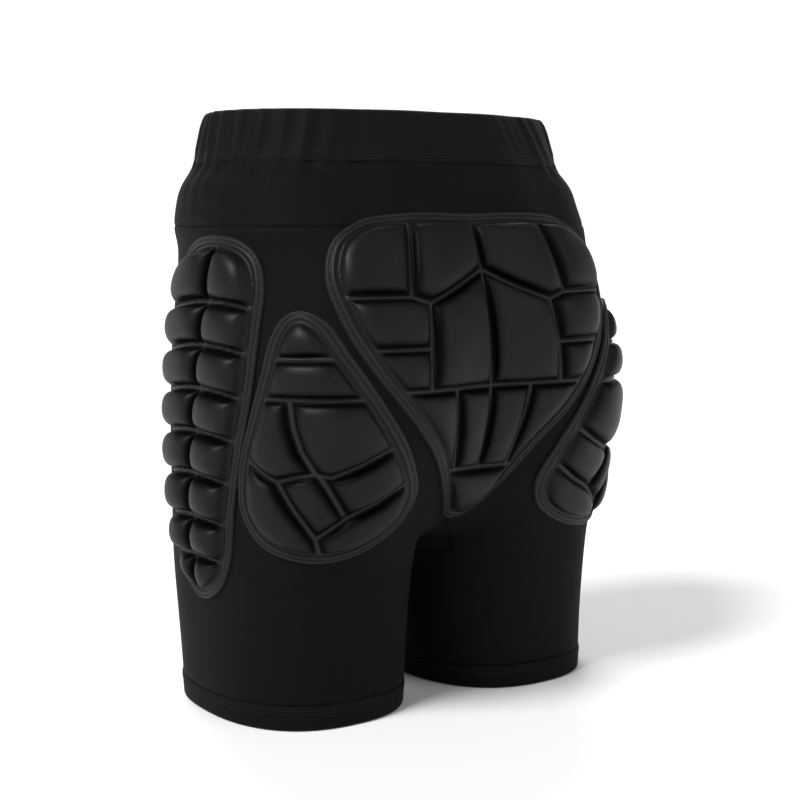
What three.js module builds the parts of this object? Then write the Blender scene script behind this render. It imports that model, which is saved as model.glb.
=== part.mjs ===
// Padded impact shorts: stretch shorts with five quilted foam pads and a hook-and-loop waist tab.
// Millimetres, +Z up. The shorts stand on their two leg hems, as they sit on a wearer:
// the front faces -Y, the wearer's left is +X, and the origin is on the floor, under the middle of
// the whole object.
import * as THREE from 'three';

// ---- driving dimensions ----
const WAIST_TOP = 440;          // floor to the top edge of the waistband
const BAND_BOTTOM = 404;        // lower seam of the waistband
const YOKE_SEAM = 358;          // seam between the hip panels and the yoke
const LEG_SEAM = 119;           // level of the crotch, where the legs divide
const HEM_TOP = 18;             // depth of the folded leg hem
const FABRIC = 1.6;             // thickness of a fabric panel
const SEAM_GAP = 0.5;           // clearance between panels that are sewn together
const FLY_TOP = 402;            // upper end of the fly flap
const FLY_BOTTOM = 278;         // lower end of the fly flap
const FLY_SLIT_X = -5;          // where the two front layers part under the flap
const BAND_SLIT_X = 6;          // where the two ends of the waistband meet under the tab
const BAND_GAP = 1.2;           // clearance between those ends
const TAB_BOTTOM = 403;         // lower edge of the waist tab
const TAB_FREE_X = -52;         // free end of the waist tab
const TAB_HINGE_X = 27;         // where the waist tab is sewn to the band
const FLAP_HINGE_X = 20;        // where the fly flap is sewn to the front
const ORIGIN_Y = 17.3;          // the form's own origin stands this far in front of the object's
const AXIS_Y = 5;               // depth of the vertical axes that the angles below turn about
const SEAT_RADIUS = 135;        // arc length per radian on the seat pad
const LEG_RADIUS = 86;          // arc length per radian on the hip and thigh pads

// ---- the worn form: knots of [height, value], joined by smooth curves ----
const HALF_WIDTH = [[0, 163], [60, 166], [110, 167], [185, 166], [260, 163], [300, 160], [338, 157],
  [358, 162], [380, 160], [402, 149], [440, 141]];
const LEG_AXIS = [[0, 88], [110, 86], [200, 80], [300, 76], [360, 70], [400, 62], [440, 52]];
const FRONT = [[0, -84], [60, -89], [120, -98], [180, -104], [250, -107], [320, -107], [380, -100],
  [440, -82]];
const BACK = [[0, 94], [60, 95], [110, 101], [160, 116], [200, 129], [240, 136], [280, 133], [320, 121],
  [360, 103], [400, 84], [440, 70]];
const MID_FRONT = [[118, -30], [135, -72], [160, -94], [200, -108], [260, -111], [330, -109],
  [380, -104], [440, -88]];
const MID_BACK = [[118, 40], [135, 77], [165, 106], [200, 122], [240, 132], [280, 131], [320, 122],
  [360, 107], [400, 90], [440, 77]];
const CROTCH = 118;
const ROUND = 2.0;              // exponent of the sections at the waist: plain ellipses
const SQUARE = 2.4;             // exponent of the sections below it: a little fuller at the corners

// half widths of the front mesh bands, from the centre line
const MESH_OUTER = [[119, 38], [137, 57], [180, 87], [243, 107], [310, 115], [360, 119], [404, 112]];
const MESH_INNER = [[119, 14], [143, 30], [180, 43], [263, 62], [337, 72], [404, 73]];

// levels of the layers, mm outside the worn form, as [inside, outside]
const PANEL = [-FABRIC, 0];
const HEM = [-FABRIC - 0.8, 0.4];
const CASING = [-3.6, 0.8];
const CASING_WALL = 1.0;
const ELASTIC = [-1.85, -1.05];
const FLAP = [0.8, 2.4];
const LOOP_PATCH = [1.4, 1.9];
const HOOK_PATCH = [2.4, 3.0];
const TAB = [3.5, 5.0];
const BACKING = [2.4, 3.2];
const BINDING = [4.2, 5.8];
const FOAM_FROM = 4.2;
const WEB = 5.8;                // the valleys between the cells
const PAD_FLANGE = 6;           // width of the flat sewn edge around the cells
const GROOVE_HALF = 2;          // half the width of a groove between cells

const clamp = (value, low, high) => Math.min(high, Math.max(low, value));
const lerp = (a, b, t) => a + (b - a) * t;
const smoothstep = (t) => { const c = clamp(t, 0, 1); return c * c * (3 - 2 * c); };
const rad = THREE.MathUtils.degToRad;

// A smooth curve through knots [x, y]: cubic Hermite, slopes from the neighbouring knots.
function through(knots, x) {
  const last = knots.length - 1;
  const at = clamp(x, knots[0][0], knots[last][0]);
  let k = 0;
  while (k < last - 1 && at > knots[k + 1][0]) k += 1;
  const slope = (i) => {
    const a = knots[Math.max(0, i - 1)];
    const b = knots[Math.min(last, i + 1)];
    return (b[1] - a[1]) / (b[0] - a[0]);
  };
  const [x0, y0] = knots[k];
  const [x1, y1] = knots[k + 1];
  const h = x1 - x0;
  const t = (at - x0) / h;
  const t2 = t * t;
  const t3 = t2 * t;
  return (2 * t3 - 3 * t2 + 1) * y0 + (t3 - 2 * t2 + t) * h * slope(k)
    + (3 * t2 - 2 * t3) * y1 + (t3 - t2) * h * slope(k + 1);
}

function smoothMin(a, b, k) {
  const h = clamp(0.5 + 0.5 * (b - a) / k, 0, 1);
  return b * (1 - h) + a * h - k * h * (1 - h);
}
const smoothMax = (a, b, k) => -smoothMin(-a, -b, k);

// Rough distance outside the worn form, negative inside: two leg tubes blended with a seat block.
function form(x, y, z) {
  const side = Math.abs(x);
  const axis = through(LEG_AXIS, z);
  const rx = through(HALF_WIDTH, z) - axis;
  const front = through(FRONT, z);
  const back = through(BACK, z);
  const cy = 0.25 * (front + back);
  const ry = y < cy ? cy - front : back - cy;
  const power = lerp(SQUARE, ROUND, smoothstep((z - 330) / 90));
  const reach = (Math.abs((side - axis) / rx) ** power + Math.abs((y - cy) / ry) ** power) ** (1 / power);
  const tube = (reach - 1) * 0.5 * (rx + ry);
  const depth = smoothMax(y - through(MID_BACK, z), through(MID_FRONT, z) - y, 10);
  const block = smoothMax(smoothMax(depth, CROTCH - z, 12), side - axis, 30);
  return smoothMin(tube, block, 26);
}

// The outermost point at a given level (mm outside the form) on a level ray from a vertical axis.
// The angle runs from the front (0) by the wearer's left (90) to the back (180).
function onForm(axisX, angle, z, level) {
  const dx = Math.sin(angle);
  const dy = -Math.cos(angle);
  const far = axisX > 0 && dx < 0 ? Math.min(260, (axisX - 0.4) / -dx) : 260;
  const value = (t) => form(axisX + t * dx, AXIS_Y + t * dy, z) - level;
  let high = far;
  let low = far;
  while (low > 0 && value(low) > 0) {
    high = low;
    low -= 4;
  }
  for (let i = 0; i < 26 && low < high; i += 1) {
    const middle = 0.5 * (low + high);
    if (value(middle) > 0) high = middle;
    else low = middle;
  }
  return [axisX + low * dx, AXIS_Y + low * dy, z];
}

// The first point at a level on a ray that rises between the legs, tilted sideways by an angle.
function underCrotch(tilt, y, level) {
  const start = 84;
  const dx = Math.sin(tilt);
  const dz = Math.cos(tilt);
  const value = (t) => form(t * dx, y, start + t * dz) - level;
  let low = 0;
  while (value(low) > 0) low += 1;
  let high = low;
  low -= 1;
  for (let i = 0; i < 26; i += 1) {
    const middle = 0.5 * (low + high);
    if (value(middle) > 0) low = middle;
    else high = middle;
  }
  return [high * dx, y, start + high * dz];
}

// The angle about the centre axis at which the front of the form has a given x.
function frontAngle(x, z) {
  let low = rad(-100);
  let high = rad(100);
  for (let i = 0; i < 24; i += 1) {
    const middle = 0.5 * (low + high);
    if (onForm(0, middle, z, 0)[0] < x) low = middle;
    else high = middle;
  }
  return 0.5 * (low + high);
}

// ---- solids ----
const group = new THREE.Group();
const MATERIALS = {
  fabric: new THREE.MeshStandardMaterial({ color: 0x1b1b20, roughness: 0.85, metalness: 0 }),
  mesh: new THREE.MeshStandardMaterial({ color: 0x5c5c62, roughness: 0.8, metalness: 0 }),
  pad: new THREE.MeshStandardMaterial({ color: 0x2e2e33, roughness: 0.75, metalness: 0 }),
  trim: new THREE.MeshStandardMaterial({ color: 0x44444a, roughness: 0.7, metalness: 0 }),
  hookLoop: new THREE.MeshStandardMaterial({ color: 0x151518, roughness: 0.95, metalness: 0 }),
};

// A closed shell from rows of [inner, outer] point pairs. Closed rows run round and meet themselves.
function addShell(name, material, rows, closedRows = false) {
  const nj = rows.length;
  const ni = rows[0].length;
  const positions = [];
  for (const row of rows) for (const pair of row) positions.push(...pair[1]);
  for (const row of rows) for (const pair of row) positions.push(...pair[0]);
  const outer = (j, i) => j * ni + (i % ni);
  const inner = (j, i) => nj * ni + j * ni + (i % ni);
  const faces = [];
  const apart = (a, b) => Math.hypot(...[0, 1, 2].map((c) => positions[3 * a + c] - positions[3 * b + c]));
  const quad = (a, b, c, d) => {
    if (apart(a, c) <= apart(b, d)) faces.push(a, b, c, a, c, d);
    else faces.push(a, b, d, b, c, d);
  };
  const columns = closedRows ? ni : ni - 1;
  for (let j = 0; j < nj - 1; j += 1) {
    for (let i = 0; i < columns; i += 1) {
      quad(outer(j, i), outer(j, i + 1), outer(j + 1, i + 1), outer(j + 1, i));
      quad(inner(j, i), inner(j + 1, i), inner(j + 1, i + 1), inner(j, i + 1));
    }
  }
  for (let i = 0; i < columns; i += 1) {
    quad(inner(0, i), inner(0, i + 1), outer(0, i + 1), outer(0, i));
    quad(outer(nj - 1, i), outer(nj - 1, i + 1), inner(nj - 1, i + 1), inner(nj - 1, i));
  }
  if (!closedRows) {
    for (let j = 0; j < nj - 1; j += 1) {
      quad(inner(j, 0), outer(j, 0), outer(j + 1, 0), inner(j + 1, 0));
      quad(outer(j, ni - 1), inner(j, ni - 1), inner(j + 1, ni - 1), outer(j + 1, ni - 1));
    }
  }
  addMesh(name, material, positions, faces);
}

// A closed ring of a closed section: sections[k] is a loop of points, the last loop joins the first.
function addRing(name, material, sections, capped = false) {
  const n = sections[0].length;
  const positions = sections.flat(2);
  const faces = [];
  const count = capped ? sections.length - 1 : sections.length;
  for (let k = 0; k < count; k += 1) {
    const next = (k + 1) % sections.length;
    for (let i = 0; i < n; i += 1) {
      const i2 = (i + 1) % n;
      faces.push(k * n + i, k * n + i2, next * n + i2, k * n + i, next * n + i2, next * n + i);
    }
  }
  if (capped) {
    const flat = sections[0].map(capPoint);
    const triangles = THREE.ShapeUtils.triangulateShape(flat, []);
    const end = (sections.length - 1) * n;
    for (const [a, b, c] of triangles) {
      faces.push(b, a, c, end + a, end + b, end + c);
    }
  }
  addMesh(name, material, positions, faces);
}

// A section point in the section's own plane: distance from the centre axis, and height.
function capPoint([x, y, z]) {
  return new THREE.Vector2(Math.hypot(x, y - AXIS_Y), z);
}

function addMesh(name, material, positions, faces) {
  let volume = 0;
  const p = (i) => new THREE.Vector3(positions[3 * i], positions[3 * i + 1], positions[3 * i + 2]);
  for (let f = 0; f < faces.length; f += 3) {
    volume += p(faces[f]).dot(p(faces[f + 1]).cross(p(faces[f + 2])));
  }
  if (volume < 0) {
    for (let f = 0; f < faces.length; f += 3) {
      [faces[f + 1], faces[f + 2]] = [faces[f + 2], faces[f + 1]];
    }
  }
  const geometry = new THREE.BufferGeometry();
  geometry.setAttribute('position', new THREE.Float32BufferAttribute(positions, 3));
  geometry.setIndex(faces);
  geometry.computeVertexNormals();
  const mesh = new THREE.Mesh(geometry, material);
  mesh.name = name;
  group.add(mesh);
}

const mirrorPoint = ([x, y, z]) => [-x, y, z];
const mirrorRows = (rows) => rows.map((row) => row.map((pair) => pair.map(mirrorPoint)));

function addShellPair(name, material, rows) {
  addShell(`left_${name}`, material, rows);
  addShell(`right_${name}`, material, mirrorRows(rows));
}

// The inner and outer points of a layer, about the centre axis and about a leg's own axis.
const centrePair = (angle, z, layer) => layer.map((level) => onForm(0, angle, z, level));
const legPair = (angle, z, layer) => layer.map((level) => onForm(through(LEG_AXIS, z), angle, z, level));
const spread = (from, to, count) => Array.from({ length: count + 1 }, (_, i) => lerp(from, to, i / count));
const gapAngle = 0.5 * SEAM_GAP / 110;

// Rows of a panel about the centre axis. start and end give the angle of its two edges at a height.
function panelRows(levels, start, end, columns) {
  return levels.map((z) => spread(start(z), end(z), columns).map((angle) => centrePair(angle, z, PANEL)));
}

// ---- fabric panels ----
const FLY_SEAM = 270;           // seam between the pouch and the two fly layers
const lowerLevels = [LEG_SEAM + 11, 148, 174, 206, 240];
const upperLevels = [FLY_SEAM, 308, 332, 346, YOKE_SEAM];
const bandLevels = [YOKE_SEAM + SEAM_GAP, 382, BAND_BOTTOM - SEAM_GAP];
const meshOuterAngle = (z) => frontAngle(through(MESH_OUTER, z), z);
const meshInnerAngle = (z) => frontAngle(through(MESH_INNER, z), z);

function addFrontPanels() {
  const levels = [...lowerLevels, ...upperLevels, ...bandLevels];
  addShellPair('front_mesh', MATERIALS.mesh,
    panelRows(levels, (z) => meshInnerAngle(z) + gapAngle, (z) => meshOuterAngle(z) - gapAngle, 2));
  addShell('front_pouch', MATERIALS.fabric,
    panelRows([...lowerLevels, FLY_SEAM - SEAM_GAP], (z) => -meshInnerAngle(z) + gapAngle,
      (z) => meshInnerAngle(z) - gapAngle, 6));
  const flyLevels = [...upperLevels, ...bandLevels.slice(1)];
  const slit = (z) => frontAngle(FLY_SLIT_X, z);
  addShell('fly_underlap', MATERIALS.fabric,
    panelRows(flyLevels, (z) => -meshInnerAngle(z) + gapAngle, (z) => slit(z) - gapAngle, 4));
  addShell('front_left_panel', MATERIALS.fabric,
    panelRows(flyLevels, (z) => slit(z) + gapAngle, (z) => meshInnerAngle(z) - gapAngle, 4));
}

function addHipPanels() {
  const columns = 11;
  const levels = [...lowerLevels, ...upperLevels];
  const rows = panelRows(levels, (z) => meshOuterAngle(z) + gapAngle, () => Math.PI - gapAngle, columns);
  // below the last full row the panel reaches down to the leg seam, except at the crotch itself
  const foot = spread(0, 1, columns).map((t) => {
    const angle = lerp(meshOuterAngle(levels[0]) + gapAngle, Math.PI - gapAngle, t);
    const rise = smoothstep((t - 0.76) / 0.16) + smoothstep((0.12 - t) / 0.12);
    return centrePair(angle, lerp(LEG_SEAM + SEAM_GAP, levels[0] - 2, clamp(rise, 0, 1)), PANEL);
  });
  addShellPair('hip_panel', MATERIALS.fabric, [foot, ...rows]);
}

function addYoke() {
  const columns = 26;
  const start = (z) => meshOuterAngle(z) + gapAngle;
  addShell('waist_yoke', MATERIALS.fabric,
    panelRows(bandLevels, start, (z) => 2 * Math.PI - start(z), columns));
}

function addGusset() {
  const rows = spread(-46, 54, 7).map((y) => spread(-72, 72, 6).map((degrees) => {
    const tilt = rad(degrees);
    return PANEL.map((level) => underCrotch(tilt, y, level));
  }));
  addShell('crotch_gusset', MATERIALS.fabric, rows);
}

// ---- legs: angles run about each leg's own axis ----
const INNER_MESH_START = rad(270 - 40);
const INNER_MESH_END = rad(270 + 47);

function addLegs() {
  const sleeveLevels = [HEM_TOP + SEAM_GAP, 52, 86, LEG_SEAM];
  const sleeveStart = INNER_MESH_END - 2 * Math.PI;
  const sleeve = sleeveLevels.map((z) => spread(sleeveStart + gapAngle * 2, INNER_MESH_START - gapAngle * 2, 14)
    .map((angle) => legPair(angle, z, PANEL)));
  addShellPair('thigh_sleeve', MATERIALS.fabric, sleeve);

  const innerMesh = [HEM_TOP + SEAM_GAP, 50, 84].map((z) => spread(INNER_MESH_START, INNER_MESH_END, 5)
    .map((angle) => legPair(angle, z, PANEL)));
  addShellPair('inner_thigh_mesh', MATERIALS.mesh, innerMesh);

  const ring = spread(0, 2 * Math.PI, 24).slice(0, -1);
  const hem = [0, HEM_TOP].map((z) => ring.map((angle) => legPair(angle, z, HEM)));
  addShell('left_hem_band', MATERIALS.fabric, hem, true);
  addShell('right_hem_band', MATERIALS.fabric, mirrorRows(hem), true);
}

// ---- waistband: a folded casing, open below, around a flat elastic ----
function addWaistband() {
  const steps = 44;
  const start = frontAngle(BAND_SLIT_X, BAND_BOTTOM);
  const end = start + 2 * Math.PI - BAND_GAP / 90;
  const [inside, outside] = CASING;
  const shoulder = WAIST_TOP - 2.5;   // where the folded top edge starts to turn over
  const underside = WAIST_TOP - 1.6;  // the inside of the fold
  const angles = spread(start, end, steps);
  const middle = 0.5 * (BAND_BOTTOM + shoulder);
  const casing = angles.map((angle) => [
    [outside, BAND_BOTTOM], [outside, middle], [outside, shoulder], [outside - 2, WAIST_TOP],
    [inside + 2, WAIST_TOP], [inside, shoulder], [inside, middle], [inside, BAND_BOTTOM],
    [inside + CASING_WALL, BAND_BOTTOM], [inside + CASING_WALL, middle],
    [inside + CASING_WALL, underside], [outside - CASING_WALL, underside],
    [outside - CASING_WALL, middle], [outside - CASING_WALL, BAND_BOTTOM],
  ].map(([level, z]) => onForm(0, angle, z, level)));
  addRing('waistband_casing', MATERIALS.fabric, casing, true);

  const elastic = [BAND_BOTTOM, middle, shoulder].map((z) => angles.slice(1, -1)
    .map((angle) => centrePair(angle, z, ELASTIC)));
  addShell('waist_elastic', MATERIALS.hookLoop, elastic);
}

// ---- front closure ----
// A layer on the front between its free edge and its sewn edge.
function frontPatch(name, material, levels, freeX, heldX, columns, layer) {
  addShell(name, material, levels.map((z) => spread(freeX(z), heldX, columns)
    .map((x) => centrePair(frontAngle(x, z), z, layer))));
}

function addClosure() {
  const flapEdge = (z) => lerp(-47, -56, Math.sin(Math.PI * clamp((z - 300) / 110, 0, 1)));
  const flapLevels = [FLY_BOTTOM, 314, 346, 366, 384, FLY_TOP];
  const patchLevels = [BAND_BOTTOM + 6, WAIST_TOP - 3];
  const tabLevels = [TAB_BOTTOM, 415, 427, WAIST_TOP - 0.5];
  frontPatch('fly_flap', MATERIALS.fabric, flapLevels, flapEdge, FLAP_HINGE_X, 5, FLAP);
  frontPatch('waist_loop_patch', MATERIALS.hookLoop, patchLevels, () => TAB_FREE_X + 6, 4, 4, LOOP_PATCH);
  frontPatch('waist_hook_patch', MATERIALS.hookLoop, patchLevels, () => TAB_FREE_X + 4, 16, 5, HOOK_PATCH);
  frontPatch('waist_tab', MATERIALS.fabric, tabLevels, () => TAB_FREE_X, TAB_HINGE_X, 6, TAB);
}

// ---- pads ----
// Each pad is drawn flat as an outline of [across, height]; across is measured along the body
// from the pad's own centre line. The grooves that part its cells are drawn in the same way.
const SEAT_OUTLINE = [[0, 366], [72, 366], [102, 361], [116, 348], [118, 325], [109, 298], [91, 262],
  [68, 227], [47, 195], [33, 168], [18, 147], [0, 142]];
const SEAT_GROOVES = [
  [[0, 372], [0, 185]],
  [[0, 326], [54, 304], [67, 308.5], [124, 308.5]],
  [[67, 372], [67, 308.5]],
  [[54, 304], [55, 245]],
  [[55, 273.5], [110, 273.5]],
  [[0, 245], [90, 245]],
  [[34.5, 245], [28, 185]],
  [[0, 185], [44, 185]],
];
const HIP_OUTLINE = [[20, 352], [42, 348], [57, 337], [64, 318], [63, 283], [59, 240], [52, 200],
  [46, 160], [42, 120], [31, 98], [10, 88], [-15, 97], [-34, 120], [-44, 160], [-50, 200], [-52, 240],
  [-51, 283], [-44, 318], [-28, 338], [-5, 349]];
const HIP_RIB = [[90, 9], [140, 2], [200, 4], [280, 13], [350, 22]];
const HIP_ROW_LEVELS = [121, 149, 180, 211, 242, 273, 304];
const HIP_ROW_BOW = 0.002;      // how fast a row's line falls away from the rib, per mm squared
const THIGH_OUTLINE = [[48, 301], [57, 297], [64, 284], [70, 255], [78, 222], [85, 188], [83, 158],
  [66, 134], [34, 124], [4, 131], [-16, 148], [-20, 168], [-10, 197], [6, 232], [24, 270], [36, 294]];
const THIGH_GROOVES = [
  [[76, 267], [20, 269]],
  [[84, 240], [6, 241.5]],
  [[52, 240], [50, 222], [46, 206], [38.5, 190]],
  [[38.5, 190], [31, 188], [18, 196], [5, 206], [-12, 215]],
  [[38.5, 190], [47, 188], [58, 183.5]],
  [[84, 204], [66, 188.5], [58, 183.5], [48.5, 164], [36, 143], [32, 128]],
  [[38.5, 190], [35.5, 186.5], [23, 161]],
  [[36, 143], [28, 151], [21, 158], [6, 168], [-8, 181], [-24, 190]],
];
const PADS = [
  { name: 'seat_pad', outline: SEAT_OUTLINE, grooves: SEAT_GROOVES, mirrored: true, height: 11,
    columns: 20, rows: 14 },
  { name: 'hip_pad', outline: HIP_OUTLINE, grooves: hipGrooves(), height: 15, columns: 7, rows: 26 },
  { name: 'thigh_pad', outline: THIGH_OUTLINE, grooves: THIGH_GROOVES, height: 11, columns: 8, rows: 12 },
];

// One rib down the hip pad and a line across it between each two rows.
function hipGrooves() {
  const rib = spread(84, 356, 8).map((z) => [through(HIP_RIB, z), z]);
  const rows = HIP_ROW_LEVELS.map((level) => spread(-70, 80, 7)
    .map((u) => [u, level - HIP_ROW_BOW * (u - through(HIP_RIB, level)) ** 2]));
  return [rib, ...rows];
}

// Where a pad point lies: the seat pad about the centre axis, the others about the leg's axis.
function padPoint(pad, across, z, level) {
  if (pad.name === 'seat_pad') return onForm(0, Math.PI - across / SEAT_RADIUS, z, level);
  const base = pad.name === 'hip_pad' ? Math.PI / 2 + across / LEG_RADIUS : Math.PI - across / LEG_RADIUS;
  return onForm(through(LEG_AXIS, z), base, z, level);
}

const wholeOutline = (pad) => (pad.mirrored
  ? [...pad.outline, ...pad.outline.slice(1, -1).reverse().map(([u, z]) => [-u, z])] : pad.outline);

// The lowest and highest `across` of an outline at a height.
function spanAt(outline, z) {
  const crossings = [];
  outline.forEach(([u0, z0], i) => {
    const [u1, z1] = outline[(i + 1) % outline.length];
    if ((z0 <= z && z1 > z) || (z1 <= z && z0 > z)) crossings.push(lerp(u0, u1, (z - z0) / (z1 - z0)));
  });
  return [Math.min(...crossings), Math.max(...crossings)];
}

// Distance from a point to the nearest of some drawn lines.
function distanceToLines(lines, u, z) {
  let nearest = Infinity;
  for (const line of lines) {
    line.slice(1).forEach(([u1, z1], i) => {
      const [u0, z0] = line[i];
      const t = clamp(((u - u0) * (u1 - u0) + (z - z0) * (z1 - z0)) / ((u1 - u0) ** 2 + (z1 - z0) ** 2), 0, 1);
      nearest = Math.min(nearest, Math.hypot(u - lerp(u0, u1, t), z - lerp(z0, z1, t)));
    });
  }
  return nearest;
}

// An outline drawn in by an inset, each corner along the mean normal of its two edges.
function insetOutline(outline, inset) {
  const n = outline.length;
  const turn = Math.sign(THREE.ShapeUtils.area(outline.map(([u, z]) => new THREE.Vector2(u, z))));
  return outline.map(([u, z], i) => {
    const [ua, za] = outline[(i + n - 1) % n];
    const [ub, zb] = outline[(i + 1) % n];
    const length = Math.hypot(ub - ua, zb - za);
    return [u - turn * inset * (zb - za) / length, z + turn * inset * (ub - ua) / length];
  });
}

// Rows of [across, height] that fill an outline drawn in by an inset.
function fillOutline(outline, inset, columns, rows) {
  const edge = insetOutline(outline, inset);
  const heights = edge.map((point) => point[1]);
  const low = Math.min(...heights) + 1;
  const high = Math.max(...heights) - 1;
  return spread(0, 1, rows).map((t) => {
    const z = lerp(low, high, lerp(t, 0.5 - 0.5 * Math.cos(Math.PI * t), 0.4));
    const [a, b] = spanAt(edge, z);
    return spread(a, b, columns).map((u) => [u, z]);
  });
}

function addPads() {
  for (const pad of PADS) {
    const outline = wholeOutline(pad);
    const placed = (grid, inside, outside) => grid.map((row) => row.map(([u, z]) => [
      padPoint(pad, u, z, inside), padPoint(pad, u, z, outside(u, z))]));
    const crown = (u, z) => {
      const toGroove = distanceToLines(pad.grooves, pad.mirrored ? Math.abs(u) : u, z) - GROOVE_HALF;
      const toFlange = distanceToLines([[...outline, outline[0]]], u, z) - PAD_FLANGE;
      const depth = Math.max(0, Math.min(toGroove, toFlange));
      return WEB + (pad.height - WEB) * Math.sqrt(smoothstep(depth / 9));
    };
    const backing = placed(fillOutline(outline, 2, Math.ceil(pad.columns * 0.8), Math.ceil(pad.rows * 0.6)),
      BACKING[0], () => BACKING[1]);
    const foam = placed(fillOutline(outline, PAD_FLANGE + 0.6, pad.columns, pad.rows), FOAM_FROM, crown);
    const binding = bindingSections(pad, outline);
    if (pad.mirrored) {
      addShell(`${pad.name}_backing`, MATERIALS.fabric, backing);
      addShell(`${pad.name}_foam`, MATERIALS.pad, foam);
      addRing(`${pad.name}_binding`, MATERIALS.trim, binding);
    } else {
      addShellPair(`${pad.name}_backing`, MATERIALS.fabric, backing);
      addShellPair(`${pad.name}_foam`, MATERIALS.pad, foam);
      addRing(`left_${pad.name}_binding`, MATERIALS.trim, binding);
      addRing(`right_${pad.name}_binding`, MATERIALS.trim, binding.map((loop) => loop.map(mirrorPoint)));
    }
  }
}

// The binding runs round the outline: a low strip from the edge to the start of the cells.
function bindingSections(pad, outline) {
  const rings = [0.5, PAD_FLANGE - 1.4].map((inset) => insetOutline(outline, inset));
  const lengths = outline.map(([u, z], i) => {
    const [ub, zb] = outline[(i + 1) % outline.length];
    return Math.max(1, Math.round(Math.hypot(ub - u, zb - z) / 18));
  });
  const sections = [];
  outline.forEach((_, i) => {
    const next = (i + 1) % outline.length;
    for (let k = 0; k < lengths[i]; k += 1) {
      const [edge, inner] = rings.map((ring) => [0, 1].map((c) => lerp(ring[i][c], ring[next][c], k / lengths[i])));
      const [low, high] = BINDING;
      sections.push([padPoint(pad, ...edge, low), padPoint(pad, ...edge, high),
        padPoint(pad, ...inner, high), padPoint(pad, ...inner, low)]);
    }
  });
  return sections;
}

addFrontPanels();
addHipPanels();
addYoke();
addGusset();
addLegs();
addWaistband();
addClosure();
addPads();
group.position.y = -ORIGIN_Y;

export default group;
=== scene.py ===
"""Padded impact shorts: the visual model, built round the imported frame."""
import math

import bpy
import numpy as np
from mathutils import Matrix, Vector


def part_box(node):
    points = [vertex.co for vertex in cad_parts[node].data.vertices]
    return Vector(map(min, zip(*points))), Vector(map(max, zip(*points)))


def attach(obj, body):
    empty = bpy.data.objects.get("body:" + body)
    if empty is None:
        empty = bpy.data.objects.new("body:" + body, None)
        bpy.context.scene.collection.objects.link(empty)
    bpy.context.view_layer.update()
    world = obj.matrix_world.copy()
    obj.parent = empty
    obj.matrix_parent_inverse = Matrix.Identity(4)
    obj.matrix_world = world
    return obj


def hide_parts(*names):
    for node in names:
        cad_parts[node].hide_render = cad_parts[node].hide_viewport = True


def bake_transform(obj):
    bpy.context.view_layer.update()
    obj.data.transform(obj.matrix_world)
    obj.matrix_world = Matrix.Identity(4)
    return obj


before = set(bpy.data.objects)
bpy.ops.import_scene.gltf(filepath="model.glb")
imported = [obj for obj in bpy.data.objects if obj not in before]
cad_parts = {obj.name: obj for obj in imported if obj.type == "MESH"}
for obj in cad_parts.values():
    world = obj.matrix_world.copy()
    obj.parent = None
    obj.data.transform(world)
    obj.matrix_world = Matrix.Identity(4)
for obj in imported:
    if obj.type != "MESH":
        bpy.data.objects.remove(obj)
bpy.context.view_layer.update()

MM = 0.001                      # this script works in millimetres, Blender in metres
HEM_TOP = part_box("left_hem_band")[1][2] / MM
BAND_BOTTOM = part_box("waistband_casing")[0][2] / MM
WAIST_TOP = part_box("waistband_casing")[1][2] / MM
YOKE_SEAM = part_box("waist_yoke")[0][2] / MM
FLY_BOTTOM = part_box("fly_flap")[0][2] / MM
FLY_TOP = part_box("fly_flap")[1][2] / MM
TAB_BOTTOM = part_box("waist_tab")[0][2] / MM
CROTCH = 118
ORIGIN_Y = 17.3                 # the worn form's own origin stands this far in front of the frame's
AXIS_Y = 5
SEAT_RADIUS = 135
LEG_RADIUS = 86
FABRIC = 1.3                    # cloth thickness
LAP_FABRIC = 1.5                # thickness of the tab and the flap
RNG = np.random.default_rng(7)

# ---------------------------------------------------------------- the worn form
# Each table holds [height, place] in mm. The places are x for the half width, the left leg's axis and the
# front nets' edges, and y for the front and back, through the leg's axis and (MID) in the centre plane.
HALF_WIDTH = [[0, 163], [60, 166], [110, 167], [185, 166], [260, 163], [300, 160], [338, 157],
              [358, 162], [380, 160], [402, 149], [440, 141]]
LEG_AXIS = [[0, 88], [110, 86], [200, 80], [300, 76], [360, 70], [400, 62], [440, 52]]
FRONT = [[0, -84], [60, -89], [120, -98], [180, -104], [250, -107], [320, -107], [380, -100], [440, -82]]
BACK = [[0, 94], [60, 95], [110, 101], [160, 116], [200, 129], [240, 136], [280, 133], [320, 121],
        [360, 103], [400, 84], [440, 70]]
MID_FRONT = [[118, -30], [135, -72], [160, -94], [200, -108], [260, -111], [330, -109], [380, -104],
             [440, -88]]
MID_BACK = [[118, 40], [135, 77], [165, 106], [200, 122], [240, 132], [280, 131], [320, 122],
            [360, 107], [400, 90], [440, 77]]
ROUND, SQUARE = 2.0, 2.4         # section exponents of the waist and of the legs
MESH_OUTER = [[108, 3], [116, 10], [130, 31], [147, 54], [188, 83], [248, 102], [311, 110], [359, 113],
              [404, 107]]
MESH_INNER = [[108, 0.5], [116, 1.5], [130, 11], [152, 28.5], [188, 41], [267, 59], [337, 69], [404, 70]]


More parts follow.
